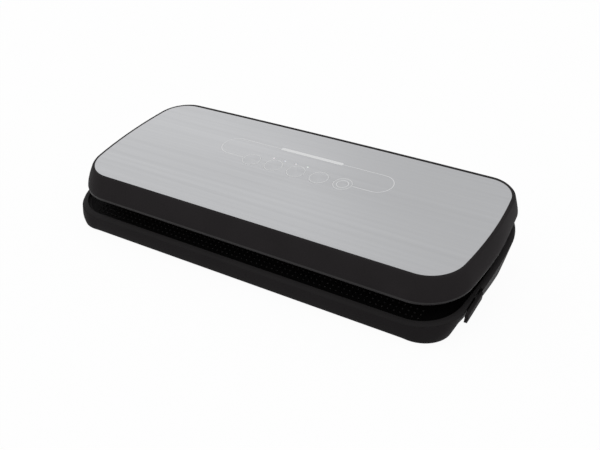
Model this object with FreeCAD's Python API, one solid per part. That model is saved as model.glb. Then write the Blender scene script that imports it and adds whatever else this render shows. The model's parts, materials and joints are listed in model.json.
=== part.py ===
import FreeCAD, Part
import math
import os
from FreeCAD import Placement, Rotation, Vector

os.makedirs("parts", exist_ok=True)

# A countertop vacuum sealer, in millimetres and degrees.
# +X is the user's right, +Y the hinge side, +Z up. The table is at Z = 0.

# Driving dimensions: attitude of the base and the lid
DECK_SLOPE = 11.2        # the parting plane falls towards the front
LID_AJAR = 3.4           # the lid rests this far above its closed position
HINGE_Z = 51.0           # hinge axis above the table
FOOT_HEIGHT = 1.6        # feet below the tray
WALL = 2.4               # moulded wall

# Driving dimensions: rim of the base, measured along the deck from the hinge axis
RIM_HALF = 185.5         # half length at the corners
RIM_FRONT = -171.3
RIM_BACK = 1.0
RIM_CORNER = 38.0        # front corners
RIM_BACK_CORNER = 62.0   # the base narrows towards the hinge
SIDE_BOW = 6.7           # the short sides bulge by this much
BACK_BOW = 1.5
CREASE = -2.0            # joint line of tray and deck, below the parting plane
LEDGE = 4.3              # width of the rounded rim ledge

# Driving dimensions: steel plate on the lid, measured along the lid from the hinge axis
PLATE_HALF = 176.8
PLATE_FRONT = -149.7
PLATE_BACK = -11.4
PLATE_FRONT_CORNER = 29.0
PLATE_BACK_CORNER = 25.0
PLATE_TOP = 20.1
PLATE_THICK = 0.8
PLATE_MARGIN = 1.3       # black edge in front of the plate
PLATE_SIDE_MARGIN = 2.0  # beside it
PLATE_BACK_MARGIN = 2.1  # and behind it
LID_BOTTOM = 0.3
LID_ROOF = 17.3          # underside of the lid's roof

# Driving dimensions: hinge
KNUCKLE_R = 4.6
PIN_R = 2.0
HINGE_X = 110.0
LID_KNUCKLE = 23.4
EAR = 8.5
SIDE_PLAY = 0.3

# Driving dimensions: deck, vacuum trough, gaskets and sealing bar
DECK_TOP = -4.2
DECK_UNDER = -6.6
TROUGH = (146.0, -121.0, -89.0, 14.0)        # half length, front, back, corner radius
TROUGH_FLOOR = -16.0
TUB_WALL = 2.0
TUB_FLANGE = 5.0         # the tub is bonded under the deck by a flange of this width
TUB_FLANGE_THICK = 1.5
GASKET_WIDTH = 8.0
GASKET_GAP = 3.0         # land between the trough and its gasket
GASKET_PLAY = 0.3
GASKET_TOP = -0.1
GROOVE = 1.5
HEATER_HALF = 148.0
HEATER_FRONT = -147.0
HEATER_BACK = -136.0
HEATER_TOP = -1.5
HEATER_LOW = -9.5
COVER_UNDER = 3.2        # lower face of the lid's inner cover
COVER_TOP = 5.2
MEET = 0.3               # soft faces stop this far apart when closed

# Driving dimensions: control panel on the plate
PANEL_MID = (PLATE_FRONT + PLATE_BACK) / 2
KEY_Y = PANEL_MID + 10.0
KEY_PITCH = 23.5
KEY_R = 8.6
KEY_PLAY = 0.25
KEY_TRAVEL = 0.6
KEY_COUNT = 5
LAMP_Y = PANEL_MID + 20.2
LAMP_R = 1.1
LAMP_OFFSET = 6.0
BAR_Y = PANEL_MID + 37.0
BAR_LENGTH = 62.0
BAR_WIDTH = 2.6

# Driving dimensions: latch
HOOK_X = 166.0
HOOK_Y = -125.0
HOOK_NOSE = 2.0
TAB_FRONT = -142.5
TAB_BACK = -114.5
TAB_OUTER = 192.2
TAB_THICK = 2.4
TAB_TAPER = 1.2          # the tab leans in with the side of the tray
TAB_TOP = CREASE - 0.3
TAB_BEND = -3.5          # height where the lean begins
TAB_LOW = -10.8
TAB_PLAY = 1.2
PRESSED = 1.6            # travel of the tab when it is pushed in
BAR_TOP = -7.5
BAR_THICK = 3.0

# Worked-out values
TRAY_BOTTOM = FOOT_HEIGHT
SLOPE = math.radians(DECK_SLOPE)
HINGE_Y = (-RIM_FRONT * math.cos(SLOPE) + CREASE * math.sin(SLOPE) - KNUCKLE_R) / 2
X_AXIS = Vector(1, 0, 0)
Y_AXIS = Vector(0, 1, 0)
Z_AXIS = Vector(0, 0, 1)
HINGE = Vector(0, HINGE_Y, HINGE_Z)
DECK_FRAME = Placement(HINGE, Rotation(X_AXIS, DECK_SLOPE))
LID_FRAME = Placement(HINGE, Rotation(X_AXIS, DECK_SLOPE - LID_AJAR))
HINGE_SIDES = (-HINGE_X, HINGE_X)
TAB_ROOM = TAB_OUTER - TAB_THICK - TAB_TAPER - PRESSED  # the tab's pocket begins here
FAR = 600.0


# Helpers

def placed(shape, frame):
    moved = shape.copy()
    moved.Placement = frame.multiply(moved.Placement)
    return moved


def raised(wire, height):
    return placed(wire, Placement(Vector(0, 0, height), Rotation()))


def arc(start, middle, end):
    return Part.Arc(start, middle, end).toShape()


def circles_meet(x0, y0, r0, x1, y1, r1):
    """Right-hand meeting point of two circles."""
    gap = math.hypot(x1 - x0, y1 - y0)
    along = (gap ** 2 + r0 ** 2 - r1 ** 2) / (2 * gap)
    across = math.sqrt(r0 ** 2 - along ** 2)
    ux = (x1 - x0) / gap
    uy = (y1 - y0) / gap
    first = (x0 + along * ux - across * uy, y0 + along * uy + across * ux)
    second = (x0 + along * ux + across * uy, y0 + along * uy - across * ux)
    return max(first, second, key=lambda point: point[1])


def towards(x0, y0, x1, y1, reach):
    """Point at a distance from the first point, in the direction of the second."""
    gap = math.hypot(x1 - x0, y1 - y0)
    return Vector(x0 + (x1 - x0) * reach / gap, y0 + (y1 - y0) * reach / gap, 0)


def mirrored(point):
    return Vector(-point.x, point.y, point.z)


def outline(half, front, back, front_r, back_r):
    """Plan outline with a straight front, bowed sides and back, and round corners."""
    mid = (front + back) / 2
    side_r = (((back - front) / 2) ** 2 + SIDE_BOW ** 2) / (2 * SIDE_BOW)
    side_x = half + SIDE_BOW - side_r
    bow_r = (half ** 2 + BACK_BOW ** 2) / (2 * BACK_BOW)
    bow_y = back + BACK_BOW - bow_r
    fy = front + front_r
    fx = side_x + math.sqrt((side_r - front_r) ** 2 - (fy - mid) ** 2)
    bx, by = circles_meet(side_x, mid, side_r - back_r, 0, bow_y, bow_r - back_r)
    front_end = Vector(fx, front, 0)
    side_start = towards(side_x, mid, fx, fy, side_r)
    side_end = towards(side_x, mid, bx, by, side_r)
    back_start = towards(0, bow_y, bx, by, bow_r)
    front_bend = towards(fx, fy, half + front_r, front - front_r, front_r)
    back_bend = towards(bx, by, half + back_r, back + back_r, back_r)
    side_mid = Vector(half + SIDE_BOW, mid, 0)
    back_mid = Vector(0, back + BACK_BOW, 0)
    edges = [Part.makeLine(mirrored(front_end), front_end),
             arc(front_end, front_bend, side_start),
             arc(side_start, side_mid, side_end),
             arc(side_end, back_bend, back_start),
             arc(back_start, back_mid, mirrored(back_start)),
             arc(mirrored(back_start), mirrored(back_bend), mirrored(side_end)),
             arc(mirrored(side_end), mirrored(side_mid), mirrored(side_start)),
             arc(mirrored(side_start), mirrored(front_bend), mirrored(front_end))]
    return Part.Wire(edges)


def prism(wire, low, high):
    return Part.Face(raised(wire, low)).extrude(Vector(0, 0, high - low))


def box(x0, x1, y0, y1, z0, z1):
    return Part.makeBox(x1 - x0, y1 - y0, z1 - z0, Vector(x0, y0, z0))


def soft_box(x0, x1, y0, y1, z0, z1, radius):
    """Box with its upright edges rounded."""
    block = box(x0, x1, y0, y1, z0, z1)
    upright = [e for e in block.Edges if abs(e.tangentAt(e.FirstParameter).z) > 0.9]
    return block.makeFillet(radius, upright)


def post(x, y, z0, z1, radius):
    return Part.makeCylinder(radius, z1 - z0, Vector(x, y, z0), Z_AXIS)


def rod(start, direction, length, radius):
    return Part.makeCylinder(radius, length, start, direction)


def joined(shapes):
    first = shapes[0]
    return first.multiFuse(shapes[1:]).removeSplitter()


def without(shape, tools):
    return shape.cut(Part.makeCompound(tools))


def above(frame, height):
    """Half space above a height in a slanted frame."""
    return placed(box(-FAR, FAR, -FAR, FAR, height, height + FAR), frame)


def save(name, shape):
    solids = shape.Solids
    made = solids[0] if len(solids) == 1 else Part.makeCompound(solids)
    made.exportStep("parts/" + name + ".step")
    size = made.BoundBox
    print("%-18s solids %2d volume %9.1f valid %s z %.1f to %.1f"
          % (name, len(solids), made.Volume, made.isValid(), size.ZMin, size.ZMax))
    return made


def on_deck(name, shape):
    return save(name, placed(shape, DECK_FRAME))


def on_lid(name, shape):
    return save(name, placed(shape, LID_FRAME))


# Base tray: a hull whose sections turn from the level bottom to the slanted joint line

SIDE_TUCK = 10.0         # how far the hull draws in towards the bottom, evenly
FRONT_TUCK = 2.0         # and near the bottom only
BACK_TUCK = 5.0
CORNER_TUCK = 11.0       # the corners grow sharper towards the bottom
EDGE_ROUND = 1.6         # rounding of the bottom edge
HULL_STEPS = (0.0, 0.06, 0.18, 0.36, 0.6, 1.0)


def hull_frame(share, lift=0.0):
    top = DECK_FRAME.multVec(Vector(0, 0, CREASE))
    low = Vector(0, HINGE_Y, TRAY_BOTTOM)
    slope = math.degrees(math.atan(share * math.tan(SLOPE)))
    return Placement(low + (top - low) * share + Vector(0, 0, lift), Rotation(X_AXIS, slope))


def hull_wire(share, inset, lift=0.0, level=None):
    """Section of the tray at a share of its height, drawn in by an inset."""
    rest = (1 - share) ** 3
    edge = EDGE_ROUND if share == 0.0 else 0.0
    flat = share if level is None else level
    stretch = math.cos(SLOPE) / math.cos(math.atan(flat * math.tan(SLOPE)))
    corner = CORNER_TUCK * (1 - share) + inset
    wire = outline(RIM_HALF - SIDE_TUCK * (1 - share) - edge - inset,
                   RIM_FRONT * stretch + FRONT_TUCK * rest + edge + inset,
                   RIM_BACK - BACK_TUCK * rest - edge - inset,
                   RIM_CORNER - corner, RIM_BACK_CORNER - corner)
    return placed(wire, hull_frame(flat, lift))


def hull(inset):
    return Part.makeLoft([hull_wire(s, inset) for s in HULL_STEPS], True, True)


def tray_hollow():
    floor = hull_wire(0.06, WALL + 0.6, WALL, 0.0)
    walls = [hull_wire(s, WALL) for s in HULL_STEPS[2:]]
    walls.append(hull_wire(1.0, WALL, 2.0))
    return Part.makeLoft([floor] + walls, True, True)


BOSSES = ((-130, -77.5), (130, -77.5), (-40, -77.5), (40, -77.5),
          (-170, 3), (170, 3), (-10, 68), (50, 68))
BOSS_R = 3.8
SCREW_R = 1.5
SCREW_HEAD_R = 2.8
SCREW_HEAD_TOP = TRAY_BOTTOM + 3.2
BOSS_TOP = DECK_UNDER - 3.0
FEET = ((-150, -62), (150, -62), (-150, 55), (150, 55))
FOOT_R = 7.0
FOOT_SEAT = 0.8          # depth of the pocket that a foot is glued in
FLOOR_RIBS = (-140, -112, 0, 45)
VENT_SLOTS = 9
VENT_PITCH = 6.0
VENT_X = 118.0
VENT_Y = 8.0


def hinge_ear(x0, x1):
    """Knuckle of the tray with a web that runs down its back wall."""
    knuckle = rod(Vector(x0, 0, 0), X_AXIS, x1 - x0, KNUCKLE_R)
    profile = [Vector(x0, KNUCKLE_R, 0), Vector(x0, -1.2, 0), Vector(x0, -2.6, -22), Vector(x0, -1.0, -24)]
    web = Part.Face(Part.makePolygon(profile + profile[:1])).extrude(Vector(x1 - x0, 0, 0))
    return knuckle.fuse(web)


def ear_spans(centre):
    half = LID_KNUCKLE / 2 + SIDE_PLAY
    return ((centre - half - EAR, centre - half), (centre + half, centre + half + EAR))


def tab_pocket():
    """Clear space round the release tab, open to the outside."""
    room = soft_box(TAB_ROOM, FAR, TAB_FRONT - TAB_PLAY, TAB_BACK + TAB_PLAY, TAB_LOW - TAB_PLAY, CREASE, 1.0)
    notch = soft_box(TAB_OUTER - TAB_THICK - TAB_PLAY, FAR, TAB_FRONT - TAB_PLAY, TAB_BACK + TAB_PLAY,
                     CREASE - 0.1, -CREASE, 1.0)
    return room.fuse(notch)


def tab_pocket_wall():
    return box(TAB_ROOM - 2.6, TAB_ROOM + 4.0, TAB_FRONT - 3.5, TAB_BACK + 3.5,
               TAB_LOW - 3.5, DECK_UNDER - 0.2)


def stem_window():
    return box(170.0, 195.0, HOOK_Y - 8.0, HOOK_Y + 8.0, BAR_TOP - BAR_THICK - 0.5, BAR_TOP + 0.5)


SPRING_SEAT = -184.2


def base_housing():
    hollow = tray_hollow()
    tray = hull(0.0).cut(hollow)
    inside = hollow.fuse(tray)
    top = above(DECK_FRAME, BOSS_TOP)
    fittings = []
    for x, y in BOSSES:
        fittings.append(post(x, y, TRAY_BOTTOM + 0.5, HINGE_Z, BOSS_R).cut(top))
    for x in FLOOR_RIBS:
        fittings.append(box(x - 0.9, x + 0.9, -FAR, FAR, TRAY_BOTTOM + 0.5, TRAY_BOTTOM + WALL + 2.0))
    for x, y in BOARD_POSTS:
        fittings.append(post(x, y, TRAY_BOTTOM + 0.5, BOARD_Z, 2.8))
    for x, y in PUMP_POSTS:
        fittings.append(post(x, y, TRAY_BOTTOM + 0.5, MOUNT_Z, 5.6))
    seat = box(-FAR, SPRING_SEAT, HOOK_Y - 5, HOOK_Y + 5, -14.0, DECK_UNDER - 0.2)
    fittings.append(placed(seat, DECK_FRAME))
    fittings.append(placed(tab_pocket_wall(), DECK_FRAME))
    fitted = [f.common(inside) for f in fittings]
    for centre in HINGE_SIDES:
        for x0, x1 in ear_spans(centre):
            fitted.append(placed(hinge_ear(x0, x1), DECK_FRAME))
    body = joined([tray] + fitted)
    cuts = [placed(tab_pocket(), DECK_FRAME), placed(stem_window(), DECK_FRAME)]
    for centre in HINGE_SIDES:
        half = LID_KNUCKLE / 2 + SIDE_PLAY
        cuts.append(placed(rod(Vector(centre - half, 0, 0), X_AXIS, 2 * half, KNUCKLE_R + 0.6), DECK_FRAME))
        long_half = half + EAR + 5
        cuts.append(placed(rod(Vector(centre - long_half, 0, 0), X_AXIS, 2 * long_half, PIN_R + 0.03),
                           DECK_FRAME))
    for x, y in BOSSES:
        cuts.append(post(x, y, 0, HINGE_Z, SCREW_R + 0.2))
        cuts.append(post(x, y, 0, SCREW_HEAD_TOP, SCREW_HEAD_R + 0.3))
    for x, y in FEET:
        cuts.append(post(x, y, 0, TRAY_BOTTOM + FOOT_SEAT, FOOT_R + 0.1))
    for i in range(VENT_SLOTS):
        x = VENT_X + (i - (VENT_SLOTS - 1) / 2) * VENT_PITCH
        cuts.append(soft_box(x - 1.1, x + 1.1, VENT_Y - 14, VENT_Y + 14, 0, TRAY_BOTTOM + WALL + 1, 1.0))
    cuts.append(inlet_body(0.15, FAR / 2))
    return without(body, cuts)


# Deck: the upper moulding of the base, with the rim ledge, the trough and the sealing-bar channel

def rim_wire(inset, height, back_inset=0.0):
    return raised(outline(RIM_HALF - inset, RIM_FRONT + inset, RIM_BACK - inset - back_inset,
                          RIM_CORNER - inset, RIM_BACK_CORNER - inset), height)


def trough_block(margin, low, high):
    """Rounded block with a margin round the plan of the trough."""
    half, front, back, radius = TROUGH
    return soft_box(-half - margin, half + margin, front - margin, back + margin, low, high, radius + margin)


def trough_room():
    return trough_block(0.0, TROUGH_FLOOR, 10)


def gasket_ring(play, low, high):
    """Rounded ring round the trough, one gasket wide."""
    outer = trough_block(GASKET_GAP + GASKET_WIDTH - play, low, high)
    return outer.cut(trough_block(GASKET_GAP + play, low - 1, high + 1))


def hook_slot(x):
    return soft_box(x - 4.5, x + 2.5, HOOK_Y - 7.2, HOOK_Y + 6.2, DECK_UNDER - 1, DECK_TOP + 1, 1.0)


LATCH_GUIDES = (-100, 0, 100)
LIP_PLAY = 0.5
LIP_LEAN = 2.2           # the lip under the ledge leans in with the side of the tray
PORT_X = 84.0
PORT_N = -11.0
SWITCH_X = 158.0
SWITCH_Y = -70.0
SWITCH_HALF = 6.4
PLUNGER_R = 1.3


def latch_guide(x):
    """Moulded loop under the deck that carries the latch bar."""
    loop = box(x - 4, x + 4, LATCH_FRONT - 1.8, LATCH_BACK + 1.8,
               BAR_TOP - BAR_THICK - 2.0, DECK_UNDER + 0.5)
    return loop.cut(box(x - 5, x + 5, LATCH_FRONT - 0.3, LATCH_BACK + 0.3,
                        BAR_TOP - BAR_THICK - 0.3, BAR_TOP + 0.3))


def base_deck():
    ledge = Part.makeLoft([rim_wire(0.0, CREASE), rim_wire(0.5, CREASE + 0.9),
                           rim_wire(2.0, CREASE + 1.6), rim_wire(LEDGE, CREASE + 1.8)], True, True)
    lip = Part.makeLoft([rim_wire(WALL + LIP_PLAY + LIP_LEAN, DECK_UNDER, 1.2),
                         rim_wire(WALL + LIP_PLAY, CREASE, 1.2),
                         rim_wire(WALL + LIP_PLAY, CREASE + 0.2, 1.2)], True, True)
    channel = box(-HEATER_HALF - 2, HEATER_HALF + 2, HEATER_FRONT - 2, HEATER_BACK + 2,
                  HEATER_LOW - 2.0, DECK_TOP - 0.5)
    parts = [ledge, lip, channel]
    for x in LATCH_GUIDES:
        parts.append(latch_guide(x))
    floor_cut = Part.makeLoft([rim_wire(LEDGE + 0.3 + LIP_LEAN, DECK_TOP, 1.0),
                               rim_wire(LEDGE + 0.3, CREASE, 1.0),
                               rim_wire(LEDGE + 0.3, 10, 1.0)], True, True)
    solid = joined(parts).cut(floor_cut)
    bosses = []
    for x, y in BOSSES:
        low = HINGE_Z + (y - HINGE_Y) * math.tan(SLOPE) + BOSS_TOP - 2
        stub = post(x, y, low, HINGE_Z + 10, BOSS_R - 0.6)
        stub = stub.common(placed(box(-FAR, FAR, -FAR, FAR, BOSS_TOP + 0.2, DECK_UNDER + 1), DECK_FRAME))
        bosses.append(placed(stub, DECK_FRAME.inverse()))
    solid = joined([solid] + bosses)
    cuts = [trough_room(), gasket_ring(0.0, DECK_TOP - GROOVE, 10),
            box(-HEATER_HALF - 0.2, HEATER_HALF + 0.2, HEATER_FRONT - 0.2, HEATER_BACK + 0.2,
                HEATER_LOW, 10),
            hook_slot(HOOK_X), hook_slot(-HOOK_X), tab_pocket(),
            post(SWITCH_X, SWITCH_Y, DECK_UNDER - 1, 0, PLUNGER_R + 0.4)]
    for x, y in BOSSES:
        drill = post(x, y, 0, screw_top(x, y) + 0.4, SCREW_R + 0.02)
        cuts.append(placed(drill, DECK_FRAME.inverse()))
    for centre in HINGE_SIDES:
        reach = LID_KNUCKLE / 2 + SIDE_PLAY + EAR + 0.4
        cuts.append(box(centre - reach, centre + reach, -6.2, 20, -FAR, FAR))
    return without(solid, cuts)


def trough_tub():
    """Tray of the vacuum chamber, bonded under the deck round its opening."""
    tub = trough_block(TUB_WALL, TROUGH_FLOOR - TUB_WALL, DECK_UNDER)
    flange = trough_block(TUB_FLANGE, DECK_UNDER - TUB_FLANGE_THICK, DECK_UNDER)
    cuts = [trough_room()]
    for x in (-PORT_X, PORT_X):
        cuts.append(placed(port_barrel(x, PORT_R + 0.05), DECK_FRAME.inverse()))
    return without(tub.fuse(flange).removeSplitter(), cuts)


# Sealing bar, gaskets and lid seal

STRIP_WIDTH = 4.0
STRIP_DEPTH = 0.3
TAPE = 0.2
SEAL_WIDTH = 8.0


def heater_bar():
    bar = box(-HEATER_HALF, HEATER_HALF, HEATER_FRONT, HEATER_BACK, HEATER_LOW, HEATER_TOP - TAPE)
    mid = (HEATER_FRONT + HEATER_BACK) / 2
    return bar.cut(box(-FAR, FAR, mid - STRIP_WIDTH / 2, mid + STRIP_WIDTH / 2,
                       HEATER_TOP - TAPE - STRIP_DEPTH, 10))


def heating_strip():
    mid = (HEATER_FRONT + HEATER_BACK) / 2
    return box(-HEATER_HALF + 2, HEATER_HALF - 2, mid - STRIP_WIDTH / 2 + 0.05, mid + STRIP_WIDTH / 2 - 0.05,
               HEATER_TOP - TAPE - STRIP_DEPTH, HEATER_TOP - TAPE)


def ptfe_tape():
    return box(-HEATER_HALF, HEATER_HALF, HEATER_FRONT, HEATER_BACK, HEATER_TOP - TAPE, HEATER_TOP)


def seal_strip():
    """Silicone strip with a crowned face that presses the bag on the bar."""
    mid = (HEATER_FRONT + HEATER_BACK) / 2
    half = SEAL_WIDTH / 2
    low = HEATER_TOP + MEET
    points = [Vector(-HEATER_HALF, mid - half, COVER_TOP - 0.8),
              Vector(-HEATER_HALF, mid + half, COVER_TOP - 0.8),
              Vector(-HEATER_HALF, mid + half, low + 1.2), Vector(-HEATER_HALF, mid - half, low + 1.2)]
    crown = arc(points[2], Vector(-HEATER_HALF, mid, low), points[3])
    edges = [Part.makeLine(points[3], points[0]), Part.makeLine(points[0], points[1]),
             Part.makeLine(points[1], points[2]), crown]
    return Part.Face(Part.Wire(edges)).extrude(Vector(2 * HEATER_HALF, 0, 0))


# Latch: a tab on the right pushes one bar with a catch for each hook

LATCH_FRONT = -157.5
LATCH_BACK = -151.5
ARM_INNER = 157.5
ARM_OUTER = 174.0
STEM_X = 176.0


def latch_bar():
    low = BAR_TOP - BAR_THICK
    arm_back = HOOK_Y + 9.0
    bar = [soft_box(-172, 172, LATCH_FRONT, LATCH_BACK, low, BAR_TOP, 2.0)]
    for side in (-1, 1):
        x0, x1 = sorted((side * ARM_INNER, side * ARM_OUTER))
        bar.append(soft_box(x0, x1, LATCH_FRONT, arm_back, low, BAR_TOP, 2.0))
    bar.append(box(ARM_OUTER - 3, STEM_X, HOOK_Y - 6, HOOK_Y + 6, low, BAR_TOP))
    windows = []
    for side in (-1, 1):
        left = side * HOOK_X - 1.5 - HOOK_NOSE - 0.3
        right = left + 3.0 + HOOK_NOSE + PRESSED + 0.8
        windows.append(box(left, right, HOOK_Y - 6.8, HOOK_Y + 5.8, low - 1, BAR_TOP + 1))
    return without(joined(bar), windows)


def release_tab():
    inner = TAB_OUTER - TAB_THICK
    profile = [Vector(inner, TAB_FRONT, TAB_TOP), Vector(TAB_OUTER, TAB_FRONT, TAB_TOP),
               Vector(TAB_OUTER, TAB_FRONT, TAB_BEND), Vector(TAB_OUTER - TAB_TAPER, TAB_FRONT, TAB_LOW),
               Vector(inner - TAB_TAPER, TAB_FRONT, TAB_LOW), Vector(inner, TAB_FRONT, TAB_BEND)]
    face = Part.Face(Part.makePolygon(profile + profile[:1])).extrude(Vector(0, TAB_BACK - TAB_FRONT, 0))
    outer = [e for e in face.Edges if e.CenterOfMass.x > inner + 1.0]
    face = face.makeChamfer(0.6, [e for e in outer if e.CenterOfMass.z > TAB_BEND + 0.1])
    stem = box(STEM_X, inner, HOOK_Y - 6, HOOK_Y + 6, BAR_TOP - BAR_THICK, BAR_TOP)
    return joined([face, stem])


SPRING_TURNS = 5
SPRING_R = 1.5
SPRING_WIRE = 0.3


def latch_spring():
    """Compression spring between the seat on the tray and the left arm of the bar."""
    length = -ARM_OUTER - SPRING_WIRE - (SPRING_SEAT + SPRING_WIRE) - 0.1
    helix = Part.makeHelix(length / SPRING_TURNS, length, SPRING_R)
    square = ((-1, -1), (1, -1), (1, 1), (-1, 1))
    corners = [Vector(SPRING_R + SPRING_WIRE * a, 0, SPRING_WIRE * b) for a, b in square]
    section = Part.makePolygon(corners + corners[:1])
    coil = Part.Wire(helix.Edges).makePipeShell([section], True, True)
    start = Vector(SPRING_SEAT + SPRING_WIRE + 0.05, HOOK_Y, BAR_TOP - BAR_THICK / 2)
    return placed(coil, Placement(start, Rotation(Y_AXIS, 90)))


def lid_hook(x):
    """Hook that hangs from the lid; its nose points to the left."""
    low = BAR_TOP - BAR_THICK - 0.3
    points = [Vector(x + 1.5, 0, COVER_TOP), Vector(x + 1.5, 0, low - 2.8), Vector(x - 1.0, 0, low - 2.8),
              Vector(x - 1.5 - HOOK_NOSE, 0, low - 1.0), Vector(x - 1.5 - HOOK_NOSE, 0, low),
              Vector(x - 1.5, 0, low), Vector(x - 1.5, 0, COVER_TOP)]
    blade = Part.Face(Part.makePolygon(points + points[:1])).extrude(Vector(0, 10, 0))
    blade.translate(Vector(0, HOOK_Y - 5, 0))
    foot = soft_box(x - 6, x + 6, HOOK_Y - 7, HOOK_Y + 7, COVER_TOP, COVER_TOP + 2, 1.5)
    return blade.fuse(foot).removeSplitter()


# Lid

# Height of each lid section and its margins outside the plate: front, sides and back
LID_PROFILE = ((PLATE_TOP, PLATE_MARGIN, PLATE_SIDE_MARGIN, PLATE_BACK_MARGIN), (18.7, 2.7, 3.0, 3.4),
               (12.5, 6.4, 5.6, 5.6), (7.0, 9.8, 7.1, 7.4), (3.4, 11.6, 7.3, 8.3), (1.3, 11.9, 6.6, 8.2),
               (LID_BOTTOM, 10.9, 5.5, 7.2))
LID_WALL = 2.2
LID_RIBS = (-130, -90, 90, 130)
LID_SCREWS = ((-168, -100), (168, -100), (-120, -152), (120, -152),
              (-100, -60), (100, -60), (-150, -22), (150, -22))


def lid_wire(front, side, back, height):
    """Outline of the lid, as margins round the steel plate."""
    return raised(outline(PLATE_HALF + side, PLATE_FRONT - front, PLATE_BACK + back,
                          PLATE_FRONT_CORNER + (front + side) / 2,
                          PLATE_BACK_CORNER + (back + side) / 2), height)


def key_places():
    return [(i - (KEY_COUNT - 1) / 2) * KEY_PITCH for i in range(KEY_COUNT)]


def lamp_places():
    keys = key_places()
    return [keys[k] + side * LAMP_OFFSET for k in (1, 2) for side in (-1, 1)]


def bar_window(play, low, high):
    half = BAR_LENGTH / 2 + play
    wide = BAR_WIDTH / 2 + play
    return soft_box(-half, half, BAR_Y - wide, BAR_Y + wide, low, high, wide * 0.98)


def panel_cuts(low, high, play):
    cuts = [post(x, KEY_Y, low, high, KEY_R + play) for x in key_places()]
    cuts += [post(x, LAMP_Y, low, high, LAMP_R + 0.05) for x in lamp_places()]
    cuts.append(bar_window(0.1, low, high))
    return cuts


def plate_wire(margin, height):
    return lid_wire(margin, margin, margin, height)


def lid_hollow():
    walls = [lid_wire(front - LID_WALL, side - LID_WALL, back - LID_WALL, height)
             for height, front, side, back in LID_PROFILE if height < LID_ROOF]
    roof = [lid_wire(1.6, 0.8, 0.8, LID_ROOF)]
    below = [lid_wire(8.2, 2.2, 4.2, LID_BOTTOM - 1.0)]
    return Part.makeLoft(roof + walls + below, True, True)


def lid_shell():
    sections = [lid_wire(front, side, back, height) for height, front, side, back in LID_PROFILE]
    outer = Part.makeLoft(sections, True, True)
    hollow = lid_hollow()
    fittings = [post(x, y, COVER_TOP + 0.1, LID_ROOF + 1, 3.4) for x, y in LID_SCREWS]
    for x in LID_RIBS:
        fittings.append(box(x - 0.8, x + 0.8, -FAR, FAR, LID_ROOF - 5, LID_ROOF + 1))
    for x, y in CONTROL_POSTS:
        fittings.append(post(x, y, CONTROL_TOP, LID_ROOF + 1, 2.6))
    shell = outer.cut(hollow)
    inside = hollow.fuse(shell)
    body = joined([shell] + [f.common(inside) for f in fittings])
    knuckles = []
    for centre in HINGE_SIDES:
        x0 = centre - LID_KNUCKLE / 2
        knuckles.append(rod(Vector(x0, 0, 0), X_AXIS, LID_KNUCKLE, KNUCKLE_R))
        knuckles.append(box(x0, x0 + LID_KNUCKLE, -5.5, 0, LID_BOTTOM, KNUCKLE_R))
    body = joined([body] + knuckles)
    cuts = [prism(plate_wire(0.0, 0), PLATE_TOP - PLATE_THICK, 40)]
    cuts += panel_cuts(LID_ROOF - 1, 40, KEY_PLAY)
    cuts += [post(x, y, 0, COVER_TOP + 6, SCREW_PILOT) for x, y in LID_SCREWS]
    for centre in HINGE_SIDES:
        cuts.append(rod(Vector(centre - 20, 0, 0), X_AXIS, 40, PIN_R + 0.06))
        for x0, x1 in ear_spans(centre):
            cuts.append(rod(Vector(x0 - SIDE_PLAY, 0, 0), X_AXIS, x1 - x0 + 2 * SIDE_PLAY, KNUCKLE_R + 0.6))
    return without(body, cuts)


def top_plate():
    return without(prism(plate_wire(-0.05, 0), PLATE_TOP - PLATE_THICK, PLATE_TOP),
                   panel_cuts(0, 40, KEY_PLAY))


SCREW_PILOT = 1.3
HEAD_SEAT = 0.8          # counterbore for the heads of the lid screws


def lid_inner():
    """Lower cover of the lid, with the seal groove and the upper half of the vacuum chamber."""
    panel = prism(lid_wire(7.6, 2.6, 3.4, 0), COVER_UNDER, COVER_TOP)
    mid = (HEATER_FRONT + HEATER_BACK) / 2
    presser = post(SWITCH_X, SWITCH_Y, DECK_TOP + 1.7, COVER_UNDER + 0.5, 2.4)
    dome = trough_block(0.0, COVER_TOP - 0.5, COVER_TOP + 3.0)
    body = joined([panel, presser, dome])
    cuts = [gasket_ring(0.0, 0, COVER_UNDER + 1.0),
            trough_block(-TUB_WALL, 0, COVER_TOP + 1.2),
            box(-HEATER_HALF - 0.1, HEATER_HALF + 0.1, mid - SEAL_WIDTH / 2 - 0.1, mid + SEAL_WIDTH / 2 + 0.1,
                0, COVER_TOP - 0.8)]
    for x in (-HOOK_X, HOOK_X):
        cuts.append(box(x - 1.7, x + 1.7, HOOK_Y - 5.2, HOOK_Y + 5.2, 0, 10))
    cuts += [post(x, y, 0, 10, SCREW_PILOT + 0.2) for x, y in LID_SCREWS]
    cuts += [post(x, y, 0, COVER_UNDER + HEAD_SEAT, 2.6) for x, y in LID_SCREWS]
    return without(body, cuts)


def lid_screw(x, y):
    head = post(x, y, COVER_UNDER, COVER_UNDER + HEAD_SEAT, 2.4)
    shank = post(x, y, COVER_UNDER + HEAD_SEAT - 0.1, COVER_TOP + 5, SCREW_PILOT - 0.02)
    return head.fuse(shank).removeSplitter()


CONTROL_LOW = 11.0
CONTROL_TOP = 12.6
CONTROL_POSTS = ((-72, -84), (72, -84), (-72, -36), (72, -36))
SWITCH_HIGH = 15.5


def control_board():
    board = soft_box(-78, 78, -88, -32, CONTROL_LOW, CONTROL_TOP, 3.0)
    return without(board, [post(x, y, 0, 20, 1.2) for x, y in CONTROL_POSTS])


def tact_switch(x):
    body = box(x - 3, x + 3, KEY_Y - 3, KEY_Y + 3, CONTROL_TOP, SWITCH_HIGH - 0.8)
    return body.fuse(post(x, KEY_Y, CONTROL_TOP, SWITCH_HIGH, 1.75)).removeSplitter()


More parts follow.
